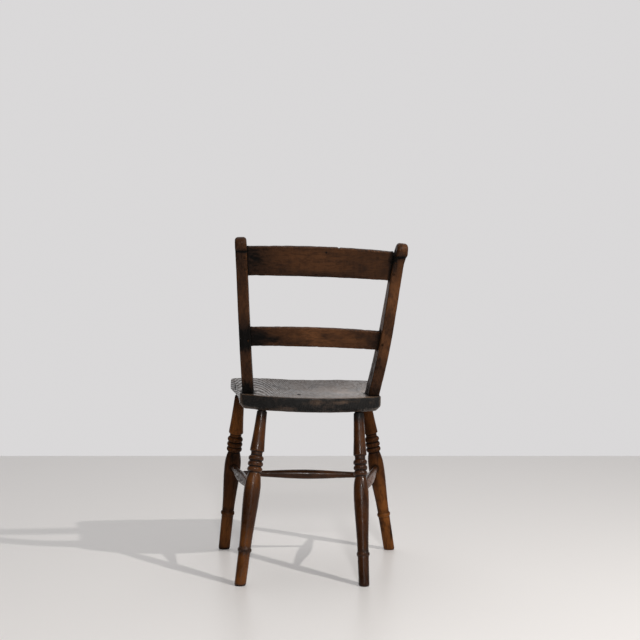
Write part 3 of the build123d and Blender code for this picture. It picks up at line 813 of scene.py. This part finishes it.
# Materials
class Graph:
    """Short calls for one material's nodes."""

    def __init__(self, name):
        self.material = bpy.data.materials.new(name)
        self.material.use_nodes = True
        self.tree = self.material.node_tree
        self.shader = next(node for node in self.tree.nodes if node.type == "BSDF_PRINCIPLED")

    def add(self, kind, **settings):
        """A new node."""
        node = self.tree.nodes.new("ShaderNode" + kind)
        for key, value in settings.items():
            setattr(node, key, value)
        return node

    def feed(self, socket, value):
        """Links a socket to another, or sets its value."""
        if isinstance(value, bpy.types.NodeSocket):
            self.tree.links.new(value, socket)
        else:
            socket.default_value = value

    def math(self, operation, a, b=0.0, clamp=False):
        """One arithmetic step."""
        node = self.add("Math", operation=operation, use_clamp=clamp)
        self.feed(node.inputs[0], a)
        self.feed(node.inputs[1], b)
        return node.outputs[0]

    def plus(self, a, b):
        """Sum."""
        return self.math("ADD", a, b)

    def minus(self, a, b):
        """Difference."""
        return self.math("SUBTRACT", a, b)

    def times(self, a, b):
        """Product."""
        return self.math("MULTIPLY", a, b)

    def most(self, a, b):
        """Larger of two."""
        return self.math("MAXIMUM", a, b)

    def vector(self, operation, a, b):
        """One step of vector arithmetic."""
        node = self.add("VectorMath", operation=operation)
        self.feed(node.inputs[0], a)
        self.feed(node.inputs[1], b)
        return node.outputs[0]

    def scaled(self, vector, factor):
        """A vector times a number."""
        node = self.add("VectorMath", operation="SCALE")
        self.feed(node.inputs[0], vector)
        self.feed(node.inputs["Scale"], factor)
        return node.outputs[0]

    def split(self, vector):
        """The three parts of a vector."""
        node = self.add("SeparateXYZ")
        self.feed(node.inputs[0], vector)
        return node.outputs

    def swapped(self, vector):
        """A vector with x and y exchanged."""
        x, y, z = self.split(vector)
        node = self.add("CombineXYZ")
        for socket, part in zip(node.inputs, (y, x, z)):
            self.feed(socket, part)
        return node.outputs[0]

    def rise(self, value, low, high):
        """Smooth rise from 0 at low to 1 at high."""
        node = self.add("MapRange", interpolation_type="SMOOTHSTEP")
        self.feed(node.inputs["Value"], value)
        node.inputs["From Min"].default_value = low
        node.inputs["From Max"].default_value = high
        return node.outputs[0]

    def blend(self, factor, a, b):
        """Mix of two colours, through the colour sockets of a Mix node."""
        node = self.add("Mix", data_type="RGBA")
        self.feed(node.inputs[0], factor)
        self.feed(node.inputs[6], a)
        self.feed(node.inputs[7], b)
        return node.outputs[2]

    def noise(self, vector, stretch, detail, roughness, distortion):
        """Noise with its own scale along each axis."""
        node = self.add("TexNoise")
        self.feed(node.inputs["Vector"], self.vector("MULTIPLY", vector, stretch))
        node.inputs["Scale"].default_value = 1.0
        node.inputs["Detail"].default_value = detail
        node.inputs["Roughness"].default_value = roughness
        node.inputs["Distortion"].default_value = distortion
        return node.outputs[0]

    def mark(self, name):
        """A number stored on the mesh."""
        return self.add("Attribute", attribute_name=name).outputs["Fac"]


def colour(red, green, blue):
    """An opaque colour."""
    return (red, green, blue, 1.0)


BLACK = colour(0.0034, 0.0027, 0.0022)


def growth_rings(graph, own, pith, tilt, spacing, wobble):
    """Growth rings about a pith line that runs along x at a slant: 0 to 1 across each year."""
    along, across, up = graph.split(own)
    sway = graph.times(graph.minus(graph.noise(own, *RING_SWAY), 0.5), wobble)
    deep = graph.plus(graph.times(along, tilt), graph.plus(up, pith[1]))
    wide = graph.minus(across, pith[0])
    squared = graph.plus(graph.times(deep, deep), graph.times(wide, wide))
    radius = graph.plus(graph.math("SQRT", squared), sway)
    return graph.math("FRACT", graph.math("DIVIDE", radius, spacing))


def wood(name, dark, body, light, rings, early, pores, gloss, level, figure, depth,
         lathe=0.0, curl=0.0, grain_along_y=False):
    """Old stained and varnished wood: grain, growth rings, pores, rubbed edges and dirt, with the
    painted light and painted shade carried by the marks.
    """
    graph = Graph(name)
    own = graph.add("Attribute", attribute_name="grain").outputs["Vector"]
    if grain_along_y:
        own = graph.swapped(own)
    chance = graph.add("ObjectInfo").outputs["Random"]
    board = graph.vector("ADD", own, graph.scaled(BOARD_SHIFT, chance))
    streaks = graph.noise(board, *STREAKS)
    fibres = graph.noise(board, *FIBRES)
    blotch = graph.noise(board, *BLOTCHES)
    smudge = graph.noise(board, *SMUDGES)
    speck = graph.noise(board, *SPECKS)
    year = growth_rings(graph, own, **rings)
    late = graph.times(graph.rise(year, early, early + RING_RISE), graph.rise(year, *RING_END))
    late = graph.times(late, figure)
    pore_line = graph.times(graph.rise(fibres, *PORE_RANGE), pores)

    # Stained grain
    stain = graph.blend(graph.rise(blotch, *BODY_RANGE), dark, body)
    stain = graph.blend(graph.times(graph.rise(streaks, *STREAK_RANGE), STREAK_TINT), stain, light)
    stain = graph.blend(late, stain, dark)
    if curl:
        band = graph.rise(graph.noise(board, *CURLS), *CURL_RANGE)
        stain = graph.blend(graph.times(band, curl), stain, light)
    stain = graph.blend(pore_line, stain, BLACK)

    # Rubbed and scratched places with some painted light, mottling, dirt, and soot with some
    # painted shade
    bare_and_painted_light = graph.times(graph.mark("polish_and_painted_light"), graph.rise(blotch, *BARE_AND_PAINTED_LIGHT_RANGE))
    wear = graph.times(graph.mark("wear"), graph.rise(speck, *WEAR_RANGE))
    scratch = graph.rise(graph.noise(board, *SCRATCHES), *SCRATCH_RANGE)
    pale = graph.most(bare_and_painted_light, graph.times(wear, WEAR_TINT))
    pale = graph.most(pale, graph.times(scratch, SCRATCH_TINT))
    stain = graph.blend(pale, stain, light)
    stain = graph.blend(graph.times(graph.rise(smudge, *MOTTLE_RANGE), MOTTLE_TINT), stain, dark)
    dirt = graph.times(graph.mark("grime"), graph.rise(speck, *DIRT_RANGE))
    soot_and_shade = graph.mark("soot_and_shade")
    stain = graph.blend(graph.times(graph.rise(soot_and_shade, *HALO_RANGE), HALO_TINT), stain, dark)
    ragged = graph.times(graph.minus(graph.plus(blotch, smudge), 1.0), SOOT_AND_SHADE_RAGGED)
    smut_and_shade = graph.rise(graph.plus(soot_and_shade, ragged), *SOOT_AND_SHADE_RANGE)
    smut_and_shade = graph.times(smut_and_shade, graph.rise(soot_and_shade, *SOOT_AND_SHADE_START))
    filth_and_shade = graph.most(graph.times(dirt, DIRT_TINT), smut_and_shade)
    graph.feed(graph.shader.inputs["Base Color"], graph.blend(filth_and_shade, stain, BLACK))

    # Gloss
    open_grain = graph.most(late, pore_line)
    dull = graph.times(graph.minus(streaks, 0.5), STREAK_DULL)
    dull = graph.plus(dull, graph.times(blotch, BLOTCH_DULL))
    dull = graph.plus(dull, graph.times(open_grain, GRAIN_DULL))
    dull = graph.plus(dull, graph.times(graph.rise(smudge, *DULL_RANGE), SMUDGE_DULL))
    dull = graph.times(dull, graph.minus(1.0, graph.times(graph.mark("polish_and_painted_light"), BURNISH)))
    dull = graph.plus(dull, graph.times(filth_and_shade, FILTH_AND_SHADE_DULL))
    graph.feed(graph.shader.inputs["Roughness"], graph.math("ADD", dull, gloss, clamp=True))
    graph.shader.inputs["Specular IOR Level"].default_value = level

    # Fine relief
    height = graph.times(graph.minus(streaks, open_grain), GRAIN_HEIGHT)
    height = graph.plus(height, graph.times(speck, SPECK_HEIGHT))
    if lathe:
        height = graph.plus(height, graph.times(graph.noise(board, *LATHE_LINES), lathe))
    bump = graph.add("Bump")
    bump.inputs["Strength"].default_value = BUMP_STRENGTH
    bump.inputs["Distance"].default_value = depth
    graph.feed(bump.inputs["Height"], height)
    graph.feed(graph.shader.inputs["Normal"], bump.outputs[0])
    return graph.material


BACK_WOOD = wood(
    "stained_beech_sawn",
    dark=colour(0.014, 0.0055, 0.0023),
    body=colour(0.036, 0.0136, 0.0045),
    light=colour(0.140, 0.0535, 0.0178),
    rings=dict(pith=(0.05, 0.12), tilt=0.04, spacing=0.0042, wobble=0.010),
    early=0.60, pores=0.42, gloss=0.30, level=0.11, figure=0.35, depth=0.0003, curl=0.06)
TURNED_LOOK = dict(
    dark=colour(0.017, 0.0053, 0.0015),
    body=colour(0.040, 0.0126, 0.0029),
    light=colour(0.200, 0.0680, 0.0145),
    rings=dict(pith=(0.06, 0.08), tilt=0.05, spacing=0.0045, wobble=0.010),
    early=0.60, pores=0.40, figure=0.30, depth=0.0004, lathe=0.8)
TURNED_WOOD = wood("stained_beech_turned", gloss=0.13, level=0.22, **TURNED_LOOK)
DRY_TURNED_WOOD = wood("stained_beech_dry", gloss=0.30, level=0.07, **TURNED_LOOK)
SEAT_WOOD = wood(
    "stained_elm",
    dark=colour(0.020, 0.0100, 0.0050),
    body=colour(0.048, 0.0250, 0.0135),
    light=colour(0.210, 0.1450, 0.1000),
    rings=dict(pith=(0.140, 0.05), tilt=-0.05, spacing=0.0042, wobble=0.003),
    early=0.40, pores=0.25, gloss=0.06, level=0.33, figure=0.80, depth=0.0005, grain_along_y=True)
PEG_WOOD = wood(
    "dark_end_grain",
    dark=colour(0.014, 0.0060, 0.0026),
    body=colour(0.026, 0.0102, 0.0038),
    light=colour(0.070, 0.030, 0.012),
    rings=dict(pith=(0.0, 0.03), tilt=0.1, spacing=0.0012, wobble=0.002),
    early=0.60, pores=0.5, gloss=0.50, level=0.08, figure=0.4, depth=0.0002)


# The chair
seat_place = Matrix.Translation((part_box("seat")[0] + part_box("seat")[1]) / 2)
seat = sawn_mesh("seat", seat_place, voxel=0.0024, rounds=3, seed=SEAT_SEED, dents=26,
                 waviness=0.0005)
seat = pierce_seat(seat, seat_place)
edge_soot = rear_edge_soot(seat, seat_place)
seat_marks = sawn_marks(seat, sharpness=0.25)
add_piece("seat", seat, seat_place, "seat_elm", SEAT_WOOD, *seat_marks, edge_soot)

for seed, node in enumerate(SAWN, SAWN_SEED):
    place = grain_frame(node)
    mesh = sawn_mesh(node, place, voxel=0.0017, rounds=2, seed=seed, dents=30, waviness=0.0004)
    if node == "top_rail":
        nick_rail(mesh, place)
    if node in HEAD_LEAN:
        round_scroll(mesh, HEAD_LEAN[node])
    add_piece(node, mesh, place, "back_wood", BACK_WOOD, *sawn_marks(mesh, sharpness=0.16))

for seed, node in enumerate(LEGS, LEG_SEED):
    ends = leg_axis(node)
    mesh, place, wear, grime = turned_mesh(node, *ends, seed, on_floor=True, dents=LEG_DENTS[node])
    finish = DRY_TURNED_WOOD if "front" in node else TURNED_WOOD
    add_piece(node, mesh, place, "turned_wood", finish, wear * LEG_WEAR[node], grime)

for seed, node in enumerate(STRETCHERS, STRETCHER_SEED):
    ends = stretcher_axis(node)
    mesh, place, wear, grime = turned_mesh(node, *ends, seed, on_floor=False, dents=STRETCHER_DENTS)
    add_piece(node, mesh, place, "turned_wood", TURNED_WOOD, wear, grime)

unmoved = Matrix.Identity(4)
wedges = sawn_mesh("post_wedges", unmoved, voxel=0.0006, rounds=1, seed=WEDGE_SEED, dents=1,
                   waviness=0.0)
add_piece("post_wedges", wedges, unmoved, "peg_wood", PEG_WOOD, *sawn_marks(wedges, sharpness=0.16))
pegs = peg_mesh()
add_piece("rail_pegs", pegs, unmoved, "peg_wood", PEG_WOOD, *sawn_marks(pegs, sharpness=0.5))


# Stage
def floor_sheet():
    """Pale floor that ends at the foot of the wall."""
    side = LEVEL_VIEW.cross(UP) * FLOOR_REACH
    back = LEVEL_VIEW * WALL_DISTANCE
    front = LEVEL_VIEW * -FLOOR_REACH
    mesh = bpy.data.meshes.new("floor")
    mesh.from_pydata([back - side, front - side, front + side, back + side], [], [(0, 1, 2, 3)])
    sheet = bpy.data.objects.new("floor", mesh)
    bpy.context.scene.collection.objects.link(sheet)
    graph = Graph("painted_floor")
    graph.shader.inputs["Base Color"].default_value = colour(*FLOOR_COLOUR)
    graph.shader.inputs["Roughness"].default_value = FLOOR_ROUGHNESS
    graph.shader.inputs["Specular IOR Level"].default_value = FLOOR_LEVEL
    mesh.materials.append(graph.material)


def area_light(name, place, target, power, width, height, tint=WHITE):
    """A rectangular lamp that faces a target."""
    lamp = bpy.data.lights.new(name, "AREA")
    lamp.shape = "RECTANGLE"
    lamp.size = width
    lamp.size_y = height
    lamp.energy = power
    lamp.color = tint
    holder = bpy.data.objects.new(name, lamp)
    holder.location = place
    holder.rotation_mode = "QUATERNION"
    holder.rotation_quaternion = (Vector(target) - Vector(place)).to_track_quat("-Z", "Y")
    holder.visible_camera = False
    bpy.context.scene.collection.objects.link(holder)


def studio_world():
    """Bright wall behind the chair and a dimmer room on its other sides."""
    world = bpy.data.worlds.new("studio")
    bpy.context.scene.world = world
    world.use_nodes = True
    tree = world.node_tree
    background = next(node for node in tree.nodes if node.type == "BACKGROUND")
    direction = tree.nodes.new("ShaderNodeTexCoord").outputs["Generated"]
    split = tree.nodes.new("ShaderNodeSeparateXYZ")
    tree.links.new(direction, split.inputs[0])

    def between(value, low, high, start, end):
        """Smooth passage from start at low to end at high."""
        node = tree.nodes.new("ShaderNodeMapRange")
        node.interpolation_type = "SMOOTHSTEP"
        tree.links.new(value, node.inputs["Value"])
        node.inputs["From Min"].default_value = low
        node.inputs["From Max"].default_value = high
        node.inputs["To Min"].default_value = start
        node.inputs["To Max"].default_value = end
        return node.outputs[0]

    def mixed(factor, a, b):
        """Mix of two numbers, through the number sockets of a Mix node."""
        node = tree.nodes.new("ShaderNodeMix")
        tree.links.new(factor, node.inputs[0])
        for socket, value in ((node.inputs[2], a), (node.inputs[3], b)):
            if isinstance(value, float):
                socket.default_value = value
            else:
                tree.links.new(value, socket)
        return node.outputs[0]

    room = between(split.outputs["X"], *SIDE_PASSAGE, RIGHT_LIGHT, LEFT_LIGHT)
    sides = mixed(between(split.outputs["Y"], *WALL_PASSAGE, 0.0, 1.0), WALL_LIGHT, room)
    whole = mixed(between(split.outputs["Z"], *CEILING_PASSAGE, 0.0, 1.0), sides, CEILING_LIGHT)
    seen = tree.nodes.new("ShaderNodeLightPath").outputs["Is Camera Ray"]
    tree.links.new(mixed(seen, whole, WALL_LIGHT), background.inputs["Strength"])
    background.inputs["Color"].default_value = colour(*ROOM_TINT)


def add_camera():
    """Camera behind the chair, about level with its top."""
    lens = bpy.data.cameras.new("camera")
    lens.lens = CAMERA_LENS
    lens.sensor_width = CAMERA_SENSOR
    camera = bpy.data.objects.new("camera", lens)
    camera.location = CAMERA_PLACE
    forward = LEVEL_VIEW * math.cos(CAMERA_PITCH) - Vector((0, 0, math.sin(CAMERA_PITCH)))
    camera.rotation_mode = "QUATERNION"
    camera.rotation_quaternion = forward.to_track_quat("-Z", "Y")
    bpy.context.scene.collection.objects.link(camera)
    bpy.context.scene.camera = camera


floor_sheet()
studio_world()
area_light("key", KEY_PLACE, KEY_TARGET, KEY_POWER, KEY_SIZE, KEY_SIZE, KEY_TINT)
area_light("panel", PANEL_PLACE, PANEL_TARGET, PANEL_POWER, PANEL_WIDTH, PANEL_HEIGHT)
area_light("top", TOP_PLACE, TOP_TARGET, TOP_POWER, TOP_SIZE, TOP_SIZE)
add_camera()
bpy.context.scene.view_settings.view_transform = "Standard"
